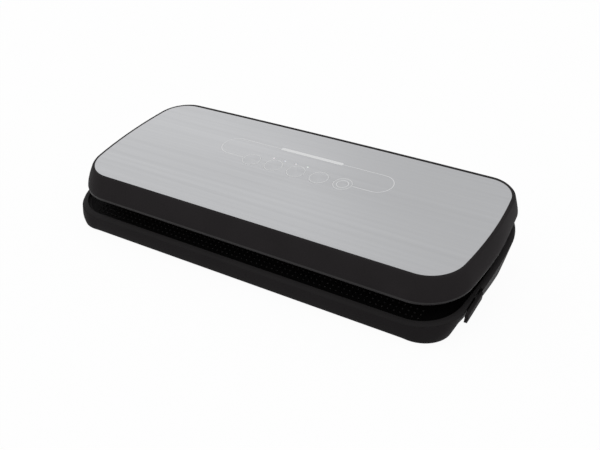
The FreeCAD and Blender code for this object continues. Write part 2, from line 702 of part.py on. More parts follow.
def control_key(x):
    cap = post(x, KEY_Y, LID_ROOF - 0.3, PLATE_TOP, KEY_R)
    flange = post(x, KEY_Y, SWITCH_HIGH + KEY_TRAVEL + 0.1, LID_ROOF - 0.3, KEY_R + 1.6)
    return cap.fuse(flange).removeSplitter()


def light_bar():
    return bar_window(0.0, CONTROL_TOP + 1.0, PLATE_TOP)


def indicator_lens(x):
    return post(x, LAMP_Y, CONTROL_TOP + 1.5, PLATE_TOP, LAMP_R)


# Vacuum pump, hoses, valve and electrics in the tray

BOARD_Z = 8.0
BOARD = (91, 165, 11, 58)  # left, right, front and back
BOARD_THICK = 1.6
BOARD_POSTS = ((96, 16), (160, 16), (96, 53), (160, 53))
MOUNT_Z = 5.0
PUMP_POSTS = ((-98, 42), (-98, 64), (-30, 42), (-30, 64))
MOUNT_TOP = 8.0
BRACKET = 1.2
PUMP_Y = 52.0
PUMP_Z = 21.0
PUMP_FACE = -64.0        # plane where the pump head meets the motor
HOSE_R = 3.0
HOSE_BORE = 1.9
HOSE_Z = 21.5
PORT_R = 2.6
NOZZLE_Y = 32.0          # end of the hoses
NOZZLE_FACE = 39.0       # front of the pump and of the valve
SHAFT_R = 1.2


def pump_bracket():
    plate = soft_box(-104, -24, 36, 70, MOUNT_TOP, MOUNT_TOP + BRACKET, 3.0)
    saddle = box(-60, -30, 42, 62, MOUNT_TOP, PUMP_Z - 9.0)
    saddle = saddle.cut(rod(Vector(-70, PUMP_Y, PUMP_Z), X_AXIS, 60, MOTOR_R + 0.05))
    body = plate.fuse(saddle)
    return without(body, [post(x, y, 0, 20, 1.8) for x, y in PUMP_POSTS])


def pump_mount(x, y):
    ring = post(x, y, MOUNT_Z, MOUNT_TOP, 4.5)
    return ring.cut(post(x, y, 0, 20, 1.8))


MOTOR_R = 11.0
MOTOR_LENGTH = 36.0


def pump_head():
    """Pump body with a crank chamber, two cylinder heads and a suction nozzle."""
    low = MOUNT_TOP + BRACKET
    body = soft_box(-100, PUMP_FACE, NOZZLE_FACE, 65, low, 30.5, 3.0)
    heads = [rod(Vector(x, NOZZLE_FACE, PUMP_Z), -Y_AXIS, 3.0, 6.5) for x in (-91, -74)]
    nozzle = rod(Vector(-PORT_X, NOZZLE_FACE, HOSE_Z), -Y_AXIS, NOZZLE_FACE - NOZZLE_Y + 5, HOSE_BORE - 0.05)
    collar = rod(Vector(-PORT_X, NOZZLE_FACE, HOSE_Z), -Y_AXIS, NOZZLE_FACE - NOZZLE_Y - 0.3, HOSE_R)
    outlet = rod(Vector(-96, NOZZLE_FACE, HOSE_Z), -Y_AXIS, 8.0, 2.0)
    shape = joined([body] + heads + [nozzle, collar, outlet])
    chamber = rod(Vector(PUMP_FACE, PUMP_Y, PUMP_Z), -X_AXIS, 22, 9.0)
    bore = rod(Vector(-PORT_X, 42, HOSE_Z), -Y_AXIS, 20, 1.0)
    return without(shape, [chamber, bore])


def pump_motor():
    can = rod(Vector(PUMP_FACE, PUMP_Y, PUMP_Z), X_AXIS, MOTOR_LENGTH, MOTOR_R)
    boss = rod(Vector(PUMP_FACE + MOTOR_LENGTH, PUMP_Y, PUMP_Z), X_AXIS, 3.0, 4.0)
    flats = [box(-FAR, FAR, PUMP_Y + 9.0, FAR, 0, 60), box(-FAR, FAR, -FAR, PUMP_Y - 9.0, 0, 60)]
    shaft_hole = rod(Vector(PUMP_FACE - 1, PUMP_Y, PUMP_Z), X_AXIS, MOTOR_LENGTH - 4, SHAFT_R + 0.05)
    return without(can.fuse(boss), flats + [shaft_hole])


def pump_crank():
    """Motor shaft with the eccentric that drives the pistons."""
    shaft = rod(Vector(PUMP_FACE + 24, PUMP_Y, PUMP_Z), -X_AXIS, 40, SHAFT_R)
    eccentric = rod(Vector(PUMP_FACE - 4, PUMP_Y, PUMP_Z + 2.0), -X_AXIS, 9, 5.5)
    return shaft.fuse(eccentric).removeSplitter()


def port_barrel(x, radius):
    """Round barrel along Y through the back wall of the trough."""
    start = DECK_FRAME.multVec(Vector(x, TROUGH[2], PORT_N))
    return rod(Vector(x, start.y - 1.0, HOSE_Z), Y_AXIS, 9.0, radius)


def trough_port(x):
    """Nozzle in the trough wall that a hose is pushed on."""
    start = DECK_FRAME.multVec(Vector(x, TROUGH[2], PORT_N))
    barrel = port_barrel(x, PORT_R)
    spigot = rod(Vector(x, start.y + 7.5, HOSE_Z), Y_AXIS, 5.5, HOSE_BORE - 0.05)
    bore = rod(Vector(x, start.y - 2, HOSE_Z), Y_AXIS, 30, 1.0)
    return barrel.fuse(spigot).cut(bore)


def hose(side):
    """Short soft tube between a trough port and the pump or the valve."""
    start = DECK_FRAME.multVec(Vector(0, TROUGH[2], PORT_N)).y + 8.1
    length = NOZZLE_Y - start
    tube = rod(Vector(side * PORT_X, start, HOSE_Z), Y_AXIS, length, HOSE_R)
    return tube.cut(rod(Vector(side * PORT_X, start, HOSE_Z), Y_AXIS, length, HOSE_BORE))


def release_valve():
    """Solenoid valve that lets air back into the trough."""
    body = soft_box(76, 90, NOZZLE_FACE, 60, BOARD_Z + 3, 29, 2.0)
    nozzle = rod(Vector(PORT_X, NOZZLE_FACE, HOSE_Z), -Y_AXIS, NOZZLE_FACE - NOZZLE_Y + 5, HOSE_BORE - 0.05)
    collar = rod(Vector(PORT_X, NOZZLE_FACE, HOSE_Z), -Y_AXIS, NOZZLE_FACE - NOZZLE_Y - 0.3, 2.0)
    coil = post(83, 50, TRAY_BOTTOM + WALL, BOARD_Z + 3.5, 5.5)
    shape = joined([body, nozzle, collar, coil])
    return shape.cut(rod(Vector(PORT_X, 45, HOSE_Z), -Y_AXIS, 20, 1.0))


def power_board():
    board = soft_box(*BOARD, BOARD_Z, BOARD_Z + BOARD_THICK, 2.0)
    return without(board, [post(x, y, 0, 20, 1.2) for x, y in BOARD_POSTS])


def board_parts():
    """Transformer, capacitors, relay and heat sink on the power board."""
    top = BOARD_Z + BOARD_THICK
    transformer = joined([box(112, 132, 18, 36, top, top + 15), box(108, 136, 22, 32, top, top + 11)])
    cans = ((144, 20, 13, 5), (155, 24, 13, 5), (144, 36, 9, 4))
    capacitors = [post(x, y, top, top + height, radius) for x, y, height, radius in cans]
    relay = box(151, 162, 31, 46, top, top + 11)
    fins = [box(x, x + 1.5, 44, 50, top, top + 14) for x in (104, 109, 114, 119, 124)]
    sink = joined([box(104, 125.5, 44, 45.5, top, top + 14)] + fins)
    return [transformer, relay, sink] + capacitors


INLET_X = 75.0
INLET_Z = 24.0
INLET_WIDTH = 24.0
INLET_HEIGHT = 14.0
INLET_BACK = 63.0
RECESS_DEPTH = 12.0
RECESS_R = 4.4
RECESS_WAIST = 3.4
POLE_ROOT = 2.0
POLE_LENGTH = 8.5
POLE_R = 1.2
POLE_PITCH = 8.6


def inlet_face():
    """Plane of the inlet's face, just inside the back of the tray."""
    probe = Part.makeLine(Vector(INLET_X, 0, INLET_Z), Vector(INLET_X, FAR, INLET_Z))
    return hull(0.0).common(probe).BoundBox.YMax - 0.5


def inlet_body(play, face):
    block = box(INLET_X - INLET_WIDTH / 2 - play, INLET_X + INLET_WIDTH / 2 + play, INLET_BACK - play, face,
                INLET_Z - INLET_HEIGHT / 2 - play, INLET_Z + INLET_HEIGHT / 2 + play)
    along = [e for e in block.Edges if abs(e.tangentAt(e.FirstParameter).y) > 0.9]
    return block.makeFillet(3.0, along)


def mains_inlet():
    """Two-pin appliance inlet with a figure-of-eight recess."""
    face = inlet_face()
    mouth = face - RECESS_DEPTH
    poles = (INLET_X - POLE_PITCH / 2, INLET_X + POLE_PITCH / 2)
    recess = [rod(Vector(x, mouth, INLET_Z), Y_AXIS, FAR, RECESS_R) for x in poles]
    recess.append(box(poles[0], poles[1], mouth, FAR, INLET_Z - RECESS_WAIST, INLET_Z + RECESS_WAIST))
    body = without(inlet_body(0.0, face), recess)
    root = mouth - POLE_ROOT
    pins = [rod(Vector(x, root, INLET_Z), Y_AXIS, POLE_ROOT + POLE_LENGTH, POLE_R) for x in poles]
    return joined([body] + pins)


def lid_switch():
    """Micro switch under the deck, worked by a post on the lid."""
    case = box(SWITCH_X - SWITCH_HALF, SWITCH_X + SWITCH_HALF, SWITCH_Y - 3, SWITCH_Y + 3,
               DECK_UNDER - 8.0, DECK_UNDER - 1.5)
    blind = post(SWITCH_X, SWITCH_Y, DECK_UNDER - 4.5, 0, PLUNGER_R + 0.05)
    ears = [box(x - 1.2, x + 1.2, SWITCH_Y - 3, SWITCH_Y + 3, DECK_UNDER - 4.0, DECK_UNDER)
            for x in (SWITCH_X - SWITCH_HALF, SWITCH_X + SWITCH_HALF)]
    return joined([case] + ears).cut(blind)


def switch_plunger():
    return post(SWITCH_X, SWITCH_Y, DECK_UNDER - 3.2, DECK_TOP + 1.4, PLUNGER_R)


def screw_top(x, y):
    return HINGE_Z + (y - HINGE_Y) * math.tan(SLOPE) + (DECK_UNDER + 1.2) / math.cos(SLOPE)


def base_screw(x, y):
    head = post(x, y, TRAY_BOTTOM + 0.8, SCREW_HEAD_TOP, SCREW_HEAD_R)
    return head.fuse(post(x, y, SCREW_HEAD_TOP - 0.2, screw_top(x, y), SCREW_R)).removeSplitter()


def rubber_foot(x, y):
    foot = post(x, y, 0, TRAY_BOTTOM + FOOT_SEAT, FOOT_R)
    low = [e for e in foot.Edges if abs(e.CenterOfMass.z) < 0.01 and e.Closed]
    return foot.makeChamfer(0.8, low)


def hinge_pin(centre):
    half = LID_KNUCKLE / 2 + SIDE_PLAY + EAR - 0.3
    return rod(Vector(centre - half, 0, 0), X_AXIS, 2 * half, PIN_R)


def group(shapes):
    return Part.makeCompound(shapes)


save("base_housing", base_housing())
on_deck("base_deck", base_deck())
on_deck("trough_tub", trough_tub())
on_deck("lower_gasket", gasket_ring(GASKET_PLAY, DECK_TOP - GROOVE, GASKET_TOP))
on_deck("heater_bar", heater_bar())
on_deck("heating_strip", heating_strip())
on_deck("ptfe_tape", ptfe_tape())
on_deck("latch_bar", latch_bar())
on_deck("release_tab", release_tab())
on_deck("latch_spring", latch_spring())
on_deck("hinge_pins", group([hinge_pin(x) for x in HINGE_SIDES]))
on_deck("lid_switch", lid_switch())
on_deck("switch_plunger", switch_plunger())
save("trough_ports", group([trough_port(x) for x in (-PORT_X, PORT_X)]))
save("vacuum_hose", hose(-1))
save("vent_hose", hose(1))
save("pump_bracket", pump_bracket())
save("pump_mounts", group([pump_mount(x, y) for x, y in PUMP_POSTS]))
save("pump_head", pump_head())
save("pump_motor", pump_motor())
save("pump_crank", pump_crank())
save("release_valve", release_valve())
save("power_board", power_board())
save("board_parts", group(board_parts()))
save("mains_inlet", mains_inlet())
save("base_screws", group([base_screw(x, y) for x, y in BOSSES]))
save("rubber_feet", group([rubber_foot(x, y) for x, y in FEET]))
on_lid("lid_shell", lid_shell())
on_lid("top_plate", top_plate())
on_lid("lid_inner", lid_inner())
on_lid("upper_gasket", gasket_ring(GASKET_PLAY, GASKET_TOP + MEET, COVER_UNDER + 1.0))
on_lid("seal_strip", seal_strip())
on_lid("lid_hooks", group([lid_hook(x) for x in (-HOOK_X, HOOK_X)]))
on_lid("lid_screws", group([lid_screw(x, y) for x, y in LID_SCREWS]))
on_lid("control_board", control_board())
on_lid("tact_switches", group([tact_switch(x) for x in key_places()]))
on_lid("light_bar", light_bar())
on_lid("indicator_lenses", group([indicator_lens(x) for x in lamp_places()]))
for number, place in enumerate(key_places(), 1):
    on_lid("control_key_%d" % number, control_key(place))
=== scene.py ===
import json
import math

import bpy
from mathutils import Matrix, Vector


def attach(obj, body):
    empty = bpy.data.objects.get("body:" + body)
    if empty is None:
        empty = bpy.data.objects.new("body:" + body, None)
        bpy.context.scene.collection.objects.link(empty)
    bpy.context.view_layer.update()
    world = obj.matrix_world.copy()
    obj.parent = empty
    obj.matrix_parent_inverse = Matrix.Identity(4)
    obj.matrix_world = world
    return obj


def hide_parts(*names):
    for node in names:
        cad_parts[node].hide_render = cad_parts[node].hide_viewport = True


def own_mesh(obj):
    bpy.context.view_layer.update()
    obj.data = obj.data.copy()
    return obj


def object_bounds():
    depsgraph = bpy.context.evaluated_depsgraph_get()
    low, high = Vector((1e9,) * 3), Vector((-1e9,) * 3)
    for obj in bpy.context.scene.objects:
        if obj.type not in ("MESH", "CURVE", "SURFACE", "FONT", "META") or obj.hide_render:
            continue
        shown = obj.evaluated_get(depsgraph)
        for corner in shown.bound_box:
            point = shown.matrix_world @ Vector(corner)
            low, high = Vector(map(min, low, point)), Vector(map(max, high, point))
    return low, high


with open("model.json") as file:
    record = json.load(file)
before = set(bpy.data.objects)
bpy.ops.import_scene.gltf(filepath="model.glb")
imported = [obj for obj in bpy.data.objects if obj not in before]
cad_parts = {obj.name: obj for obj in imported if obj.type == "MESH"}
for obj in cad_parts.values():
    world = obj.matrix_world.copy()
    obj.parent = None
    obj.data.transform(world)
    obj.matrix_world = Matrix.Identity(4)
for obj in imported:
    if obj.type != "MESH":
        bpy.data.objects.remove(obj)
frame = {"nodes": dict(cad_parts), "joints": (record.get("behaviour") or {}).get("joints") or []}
CAD_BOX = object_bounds()
NODES = frame["nodes"]
JOINTS = {joint["name"]: joint for joint in frame["joints"]}
SCENE = bpy.context.scene
MM = 0.001
STILL = Vector((0.0, 0.0, 0.0))   # no move of a point

# Camera of the photograph: place and aim in metres, lens and sensor in millimetres, roll in radians
CAMERA_PLACE = Vector((0.3660, -0.5491, 0.3834))
CAMERA_AIM = Vector((0.0633, -0.0827, 0.0705))
CAMERA_LENS = 51.12
CAMERA_SENSOR = 36.0
CAMERA_ROLL = -0.0113

# Light
AMBIENT = 0.80           # world light on the object
FLOOR_GLOW = 0.90        # share of the floor's white that needs no light
FLOOR_WHITE = 1.06       # strength of that white
FLOOR_PAINT = 0.45       # what the floor throws back on the object
FLOOR_SIZE = 8.0

# Shells: distance at which points are merged, and angles in degrees past which an edge stays sharp
MERGE = 0.002 * MM
SHARP_PLATE = 30
SHARP_SMALL = 40
SHARP_MOULDING = 50
SHARP_LID = 56
SHARP_SOFT = 60

# Faces with a second finish: lower lip of the lid, painted lighter as a highlight; recessed floor of the
# deck, painted near black as shade; pins of the inlet
LIP_HEIGHT = 3.3 * MM    # top of the lip above the hinge, in the lid's frame
RECESS_MARGIN = 0.1 * MM
PIN_R = 1.5 * MM
PIN_OFFSET = 4.3 * MM

# Back corners of the lid, in its own frame: each pair is where the draw starts and where it is full
LID_CORNER_DRAW = 2.4 * MM
LID_CORNER_X = (0.150, 0.178)
LID_CORNER_Y = (-0.085, -0.030)
LID_CORNER_Z = (0.0205, 0.0080)

# Rim behind the plate, in the lid's frame, with pairs of the same kind
BACK_RIM_PUSH = 1.1 * MM
BACK_RIM_X = (0.178, 0.150)
BACK_RIM_Y = (-0.0160, -0.0120)
BACK_RIM_Z = (0.0080, 0.0160)

# Front corners of the base
BASE_CORNER_PUSH = 3.6 * MM
BASE_CORNER_MID = (0.1535, -0.0530)          # middle of a corner, seen from above
BASE_CORNER_REACH = (18.0 * MM, 25.0 * MM)   # distance from it where the push starts and is full
BASE_CORNER_Z = (0.0015, 0.0200)             # heights where the push is full and where it ends

# Inner face of the release tab, and its back and front end
TAB_INNER = (0.1880, 0.1900)
TAB_ENDS = (-0.0290, -0.0570)
TAB_BACK_THIN = 0.4 * MM
TAB_FRONT_THICK = 0.2 * MM

# Foam gaskets and their groove
FOAM_WIDTH = 7.4 * MM
FOAM_CORNER = 24.7 * MM
FOAM_ROUND = 1.5 * MM
FOAM_EDGE = 50           # degrees past which an edge of the foam is rounded
GROOVE = 1.5 * MM

# Apron with its dots
APRON_HALF = 163.0 * MM
APRON_MARGIN = 3.4 * MM
DOT_R = 0.75 * MM
DOT_SUNK = 0.1           # share of the radius that goes below the floor
DOT_FLAT = 0.6           # height of a dot against a round one
DOT_PITCH = 5.0 * MM
DOT_ROWS = 3
DOT_ROW_PITCH = 4.4 * MM

# Share of the fine hairs in the streaks of the steel; the rest is broader bands
HAIR_SHARE = 0.6

# Print on the plate and the keys
KEY_COUNT = 5
KEY_RING_R = 8.75 * MM
INNER_RING_R = 5.6 * MM
PRINT_RISE = 0.04 * MM
PRINT_LINE = 0.75 * MM
PILL_HALF = 87.4 * MM
PILL_R = 13.5 * MM
PILL_END = 0.998         # share of half the width that its ends are rounded by
KEY_GAP = 0.4 * MM       # from the ring of the first and last key to the outline
BAR_GAP = 1.0 * MM       # from the light bar to the outline
FILM_LENGTHWISE = 1.3 * MM
FILM_ACROSS = 0.55 * MM
FILM_END = 0.98          # share of half the width that its ends are rounded by


# Slanted frames of the lid and the deck, from the joints

def slanted(press_joint):
    """Frame at the hinge whose height runs against the travel of a pressed piece."""
    axis = JOINTS[press_joint]["axis"]
    hinge = Vector(JOINTS["lid_hinge"]["pos_m"])
    return Matrix.Translation(hinge) @ Matrix.Rotation(math.atan2(axis[1], -axis[2]), 4, "X")


LID = slanted("key_1_press")
DECK = slanted("switch_press")
LEVEL = Matrix.Identity(4)
LEVEL_BACK = LID.inverted().to_3x3() @ Vector((0.0, 1.0, 0.0))   # level and backwards, for the lid


def slanted_box(node, place):
    """Lowest and highest corner of a CAD node in a slanted frame."""
    back = place.inverted()
    points = [back @ v.co for v in NODES[node].data.vertices]
    low = Vector([min(p[i] for p in points) for i in range(3)])
    high = Vector([max(p[i] for p in points) for i in range(3)])
    return low, high


def deck_floor():
    """Height of the recessed floor of the deck, which the foam's groove is cut in."""
    return slanted_box("lower_gasket", DECK)[0].z + GROOVE


def plate_top():
    """Height of the steel plate's top, in the lid's frame."""
    return slanted_box("top_plate", LID)[1].z


def key_middle(number):
    """Middle of a key's top face, in the lid's frame."""
    low, high = slanted_box("control_key_%d" % number, LID)
    return Vector(((low.x + high.x) / 2, (low.y + high.y) / 2, high.z))


# Shader helpers

def material(name):
    made = bpy.data.materials.new(name)
    made.use_nodes = True
    tree = made.node_tree
    return made, tree, tree.nodes["Principled BSDF"]


def add(tree, kind, **values):
    """New shader node; values are set on its inputs by name, spaces as underscores."""
    node = tree.nodes.new(kind)
    for key, value in values.items():
        node.inputs[key.replace("_", " ")].default_value = value
    return node


def combined(tree, operation, *terms):
    """Math node whose terms are numbers or the outputs of other nodes."""
    node = tree.nodes.new("ShaderNodeMath")
    node.operation = operation
    for socket, term in zip(node.inputs, terms):
        if isinstance(term, float):
            socket.default_value = term
        else:
            tree.links.new(term, socket)
    return node.outputs["Value"]


def placed_coords(tree, stretch):
    coords = tree.nodes.new("ShaderNodeTexCoord")
    mapping = add(tree, "ShaderNodeMapping", Scale=stretch)
    tree.links.new(coords.outputs["Object"], mapping.inputs["Vector"])
    return mapping.outputs["Vector"]


def textured(tree, kind, output, stretch=(1.0, 1.0, 1.0), **values):
    """One output of a texture node on the piece's own coordinates."""
    node = add(tree, kind, **values)
    tree.links.new(placed_coords(tree, stretch), node.inputs["Vector"])
    return node.outputs[output]


def noise(tree, scale, stretch=(1.0, 1.0, 1.0), detail=2.0, roughness=0.5):
    return textured(tree, "ShaderNodeTexNoise", "Fac", stretch,
                    Scale=scale, Detail=detail, Roughness=roughness)


def threads(tree, scale, direction):
    """Bands of a weave across one direction."""
    bands = textured(tree, "ShaderNodeTexWave", "Fac", Scale=scale, Distortion=0.4)
    bands.node.bands_direction = direction
    return bands


def brush_marks(tree):
    """Fine hairs of the brushing, along the length of the lid."""
    return noise(tree, scale=1.0, stretch=(14.0, 5200.0, 300.0), detail=3.0, roughness=0.7)


def spread(tree, value, low, high):
    """Maps a texture value of about 0.25 to 0.75 onto a range."""
    node = add(tree, "ShaderNodeMapRange", From_Min=0.25, From_Max=0.75, To_Min=low, To_Max=high)
    tree.links.new(value, node.inputs["Value"])
    return node.outputs["Result"]


def shade(colour, share=1.0):
    return (*(c * share for c in colour), 1.0)


def coloured(tree, shader, value, colour, dark, pale):
    """Base colour that runs from a darker to a paler shade with a texture value."""
    node = tree.nodes.new("ShaderNodeMix")
    node.data_type = "RGBA"
    node.inputs["A"].default_value = shade(colour, dark)
    node.inputs["B"].default_value = shade(colour, pale)
    tree.links.new(spread(tree, value, low=0.0, high=1.0), node.inputs["Factor"])
    tree.links.new(node.outputs["Result"], shader.inputs["Base Color"])


def roughened(tree, shader, value, low, high):
    """Roughness at low and at high values of a texture."""
    tree.links.new(spread(tree, value, low, high), shader.inputs["Roughness"])


def bumped(tree, shader, value, strength, depth):
    node = add(tree, "ShaderNodeBump", Strength=strength, Distance=depth)
    tree.links.new(value, node.inputs["Height"])
    tree.links.new(node.outputs["Normal"], shader.inputs["Normal"])


# Finishes

def moulded_plastic(name, colour, roughness, specular):
    """Matte moulding with a fine eroded grain and faint flow marks."""
    made, tree, shader = material(name)
    grain = noise(tree, scale=2600.0, detail=3.0, roughness=0.6)
    flow = noise(tree, scale=28.0)
    coloured(tree, shader, flow, colour, dark=0.9, pale=1.1)
    roughened(tree, shader, grain, low=roughness - 0.05, high=roughness + 0.05)
    shader.inputs["Specular IOR Level"].default_value = specular
    bumped(tree, shader, grain, strength=0.35, depth=0.03 * MM)
    return made


def brushed_steel(name, colour, roughness):
    """Sheet steel with fine hairs and broader bands; the brighter streaks are smoother."""
    made, tree, shader = material(name)
    hair = brush_marks(tree)
    band = noise(tree, scale=1.0, stretch=(2.2, 260.0, 40.0))
    bands = combined(tree, "MULTIPLY", band, 1.0 - HAIR_SHARE)
    streak = combined(tree, "MULTIPLY_ADD", hair, HAIR_SHARE, bands)
    coloured(tree, shader, streak, colour, dark=0.93, pale=1.06)
    roughened(tree, shader, streak, low=roughness + 0.06, high=roughness - 0.06)
    shader.inputs["Metallic"].default_value = 1.0
    shader.inputs["Anisotropic"].default_value = 0.4
    bumped(tree, shader, hair, strength=0.12, depth=0.01 * MM)
    return made


def plated_metal(name, colour, roughness):
    """Zinc plated or drawn steel with small cloudy patches."""
    made, tree, shader = material(name)
    cloud = noise(tree, scale=320.0, detail=3.0)
    coloured(tree, shader, cloud, colour, dark=0.88, pale=1.05)
    roughened(tree, shader, cloud, low=roughness - 0.06, high=roughness + 0.08)
    shader.inputs["Metallic"].default_value = 1.0
    bumped(tree, shader, noise(tree, scale=1800.0), strength=0.1, depth=0.02 * MM)
    return made


def closed_cell_foam(name, colour):
    """Dull foam with small cells."""
    made, tree, shader = material(name)
    cell = textured(tree, "ShaderNodeTexVoronoi", "Distance", Scale=1500.0)
    coloured(tree, shader, cell, colour, dark=0.6, pale=1.3)
    shader.inputs["Roughness"].default_value = 0.9
    shader.inputs["Specular IOR Level"].default_value = 0.2
    bumped(tree, shader, cell, strength=0.6, depth=0.15 * MM)
    return made


def soft_rubber(name, colour, roughness):
    """Rubber or silicone with a faint cloudy bloom."""
    made, tree, shader = material(name)
    bloom = noise(tree, scale=90.0, detail=4.0)
    coloured(tree, shader, bloom, colour, dark=0.85, pale=1.2)
    roughened(tree, shader, bloom, low=roughness - 0.06, high=roughness + 0.06)
    shader.inputs["Specular IOR Level"].default_value = 0.3
    bumped(tree, shader, noise(tree, scale=3000.0), strength=0.2, depth=0.03 * MM)
    return made


def coated_cloth_tape(name, colour):
    """Glass cloth with a slippery coating: a fine plain weave under a satin skin."""
    made, tree, shader = material(name)
    warp = threads(tree, scale=420.0, direction="X")
    weft = threads(tree, scale=420.0, direction="Y")
    weave = combined(tree, "MULTIPLY", warp, weft)
    coloured(tree, shader, weave, colour, dark=0.8, pale=1.15)
    shader.inputs["Roughness"].default_value = 0.42
    bumped(tree, shader, weave, strength=0.3, depth=0.05 * MM)
    return made


def pressed_board(name, colour):
    """Resin board with fibres along its length."""
    made, tree, shader = material(name)
    fibre = noise(tree, scale=1.0, stretch=(60.0, 1400.0, 1400.0), detail=4.0, roughness=0.6)
    coloured(tree, shader, fibre, colour, dark=0.7, pale=1.3)
    shader.inputs["Roughness"].default_value = 0.55
    bumped(tree, shader, fibre, strength=0.2, depth=0.04 * MM)
    return made


def solder_mask(name, colour, copper):
    """Circuit board lacquer over a faint pattern of tracks."""
    made, tree, shader = material(name)
    lacquer = textured(tree, "ShaderNodeTexBrick", "Color", Scale=90.0, Mortar_Size=0.035,
                       Color1=shade(colour), Color2=shade(colour, 0.85), Mortar=shade(copper))
    tree.links.new(lacquer, shader.inputs["Base Color"])
    shader.inputs["Roughness"].default_value = 0.35
    bumped(tree, shader, lacquer.node.outputs["Fac"], strength=0.2, depth=0.05 * MM)
    return made


def frosted_lens(name, colour):
    """Milky light guide with a fine frosting."""
    made, tree, shader = material(name)
    frost = noise(tree, scale=2400.0, detail=3.0)
    coloured(tree, shader, frost, colour, dark=0.97, pale=1.0)
    roughened(tree, shader, frost, low=0.4, high=0.5)
    shader.inputs["Subsurface Weight"].default_value = 0.1
    shader.inputs["Subsurface Scale"].default_value = 1.0 * MM
    return made


def screen_print(name, colour):
    """Pale ink with the tooth of the brushed sheet under it."""
    made, tree, shader = material(name)
    tooth = brush_marks(tree)
    coloured(tree, shader, tooth, colour, dark=0.94, pale=1.0)
    shader.inputs["Roughness"].default_value = 0.5
    bumped(tree, shader, tooth, strength=0.1, depth=0.01 * MM)
    return made


LID_PLASTIC = moulded_plastic("lid_plastic", (0.0215, 0.0192, 0.0202), roughness=0.62, specular=0.05)
# Base: the same black plastic as the lid, painted darker as shade on the base's downward-facing walls;
# the release tab takes it too
BASE_PAINTED_SHADE_PLASTIC = moulded_plastic("base_painted_shade_plastic", (0.0166, 0.0149, 0.0157), roughness=0.62, specular=0.05)
# Deck: the same black plastic as the lid, painted darker as shade in the slot under the lid; the tray and
# the apron's dots take it too
DECK_PAINTED_SHADE_PLASTIC = moulded_plastic("deck_plastic", (0.0162, 0.0149, 0.0154), roughness=0.60, specular=0.07)
# Lip: the lid's black plastic painted lighter as a highlight, standing in for the floor's reflection on
# the lower lip; it is also glossier
LIP_PAINTED_HIGHLIGHT = moulded_plastic("lip_painted_highlight", (0.0290, 0.0270, 0.0280), roughness=0.45, specular=0.20)
# Apron: the deck's black plastic painted near black as the shade in the slot under the lid
APRON_PAINTED_SHADE = moulded_plastic("apron_painted_shade", (0.0022, 0.0020, 0.0021), roughness=0.62, specular=0.05)
COVER_PLASTIC = moulded_plastic("inner_cover_plastic", (0.0120, 0.0118, 0.0118),
                                roughness=0.5, specular=0.3)
LATCH_PLASTIC = moulded_plastic("latch_plastic", (0.030, 0.030, 0.031), roughness=0.45, specular=0.4)
PUMP_PLASTIC = moulded_plastic("pump_plastic", (0.10, 0.10, 0.11), roughness=0.4, specular=0.5)
PART_PLASTIC = moulded_plastic("component_plastic", (0.022, 0.022, 0.024), roughness=0.45, specular=0.5)
INLET_PLASTIC = moulded_plastic("inlet_plastic", (0.016, 0.016, 0.016), roughness=0.48, specular=0.4)
PLUNGER_PLASTIC = moulded_plastic("plunger_plastic", (0.40, 0.030, 0.020), roughness=0.4, specular=0.5)
PLATE_STEEL = brushed_steel("plate_steel", (0.440, 0.444, 0.455), roughness=0.34)
ZINC_STEEL = plated_metal("zinc_steel", (0.55, 0.56, 0.58), roughness=0.32)
MOTOR_STEEL = plated_metal("motor_steel", (0.48, 0.48, 0.48), roughness=0.38)
HEATING_ALLOY = plated_metal("heating_alloy", (0.35, 0.34, 0.33), roughness=0.35)
FOAM = closed_cell_foam("gasket_foam", (0.022, 0.022, 0.022))
SILICONE = soft_rubber("strip_silicone", (0.035, 0.035, 0.037), roughness=0.5)
TUBE_SILICONE = soft_rubber("tube_silicone", (0.62, 0.62, 0.58), roughness=0.4)
FOOT_RUBBER = soft_rubber("foot_rubber", (0.018, 0.018, 0.018), roughness=0.75)
BAR_TAPE = coated_cloth_tape("bar_tape", (0.30, 0.19, 0.10))
BAR_BOARD = pressed_board("bar_board", (0.16, 0.08, 0.035))
CIRCUIT = solder_mask("circuit_board", (0.020, 0.13, 0.045), copper=(0.05, 0.22, 0.08))
LAMP_WHITE = frosted_lens("lamp_white", (0.80, 0.81, 0.81))
LENS_GREY = frosted_lens("lens_grey", (0.84, 0.85, 0.85))
PANEL_PRINT = screen_print("panel_print", (0.76, 0.765, 0.77))
LIGHT_FILM = screen_print("light_film", (0.83, 0.835, 0.84))

# Finishes of the solids that show as they are
PLAIN_SOLIDS = (
    (LATCH_PLASTIC, ("lid_hooks", "latch_bar")),
    (BAR_BOARD, ("heater_bar",)),
    (HEATING_ALLOY, ("heating_strip",)),
    (BAR_TAPE, ("ptfe_tape",)),
    (ZINC_STEEL, ("hinge_pins", "base_screws", "lid_screws", "pump_bracket", "pump_crank")),
    (PART_PLASTIC, ("lid_switch", "board_parts", "tact_switches")),
    (PLUNGER_PLASTIC, ("switch_plunger",)),
    (PUMP_PLASTIC, ("trough_ports", "pump_head", "release_valve")),
    (TUBE_SILICONE, ("vacuum_hose", "vent_hose")),
    (FOOT_RUBBER, ("pump_mounts",)),
    (MOTOR_STEEL, ("pump_motor",)),
    (CIRCUIT, ("power_board", "control_board")),
)


def plain_solids():
    for finish, nodes in PLAIN_SOLIDS:
        for node in nodes:
            NODES[node].data.materials.clear()
            NODES[node].data.materials.append(finish)


# Modelling helpers

def deselect():
    if bpy.context.mode != "OBJECT":
        bpy.ops.object.mode_set(mode="OBJECT")
    bpy.ops.object.select_all(action="DESELECT")


def only(piece):
    deselect()
    piece.select_set(True)
    bpy.context.view_layer.objects.active = piece


def edit(piece):
    only(piece)
    bpy.ops.object.mode_set(mode="EDIT")
    bpy.ops.mesh.select_all(action="SELECT")


def done():
    bpy.ops.object.mode_set(mode="OBJECT")


